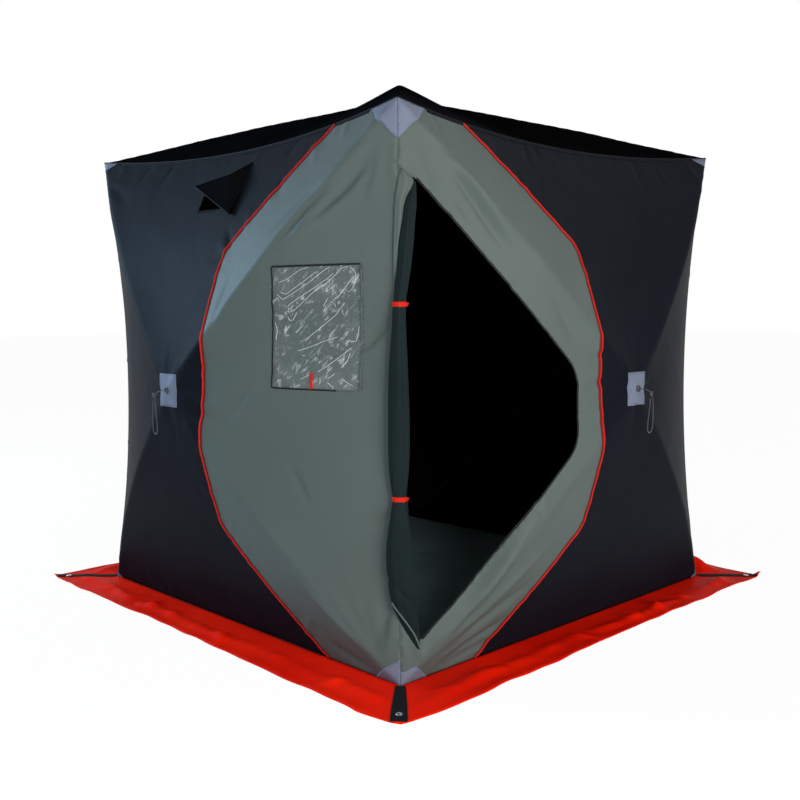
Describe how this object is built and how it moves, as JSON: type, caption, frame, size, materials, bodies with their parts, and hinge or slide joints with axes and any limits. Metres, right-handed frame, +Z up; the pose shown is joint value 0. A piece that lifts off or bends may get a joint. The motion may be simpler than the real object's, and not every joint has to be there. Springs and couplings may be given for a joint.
{
  "type": "pop-up ice fishing shelter",
  "caption": "Cube-shaped pop-up fabric shelter on bent poles and hubs, with a corner doorway, clear window, vent hood and ground skirt.",
  "frame": {"origin": "centre of the footprint, on the ground", "axes": "+Z up; the door wall faces -Y, the window wall faces -X, and they meet at the front corner"},
  "size_m": [2.439, 2.439, 2.0617],
  "materials": {
    "black_fabric": "coated oxford weave, black",
    "grey_fabric": "coated oxford weave, grey-green",
    "flap_fabric": "dark uncoated inner side",
    "skirt_fabric": "red-orange coated weave",
    "webbing": "woven black tape",
    "patch_fabric": "pale lavender-grey weave",
    "red_trim": "red binding tape",
    "clear_sheet": "clear creased plastic film",
    "hub_plastic": "moulded nylon, black",
    "pole_fibreglass": "pultruded rod, black",
    "eyelet_metal": "stamped, dull",
    "cord": "braided cord, black"
  },
  "bodies": {
    "root": {"door_wall_black_panel": "black_fabric", "window_wall_black_panel": "black_fabric", "side_wall": "black_fabric", "back_wall": "black_fabric", "roof": "black_fabric", "vent_hood": "black_fabric", "window_binding": "black_fabric", "door_zip": "black_fabric", "door_wall_grey_panel": "grey_fabric", "window_wall_grey_panel": "grey_fabric", "window_blind": "grey_fabric", "door_flap": "flap_fabric", "floor_sheet": "flap_fabric", "door_skirt": "skirt_fabric", "side_skirt": "skirt_fabric", "back_skirt": "skirt_fabric", "window_skirt": "skirt_fabric", "corner_straps": "webbing", "top_pole_pockets": "webbing", "base_pole_pockets": "webbing", "hub_patches": "patch_fabric", "top_corner_patches": "patch_fabric", "base_corner_patches": "patch_fabric", "door_wall_piping": "red_trim", "window_wall_piping": "red_trim", "window_pull_tab": "red_trim", "door_ties": "red_trim", "window_pane": "clear_sheet", "door_wall_hub": "hub_plastic", "window_wall_hub": "hub_plastic", "side_wall_hub": "hub_plastic", "back_wall_hub": "hub_plastic", "roof_hub": "hub_plastic", "door_wall_poles": "pole_fibreglass", "window_wall_poles": "pole_fibreglass", "side_wall_poles": "pole_fibreglass", "back_wall_poles": "pole_fibreglass", "roof_poles": "pole_fibreglass", "anchor_eyelets": "eyelet_metal", "door_wall_pull_cord": "cord", "window_wall_pull_cord": "cord", "side_wall_pull_cord": "cord", "back_wall_pull_cord": "cord"}
  },
  "joints": []
}
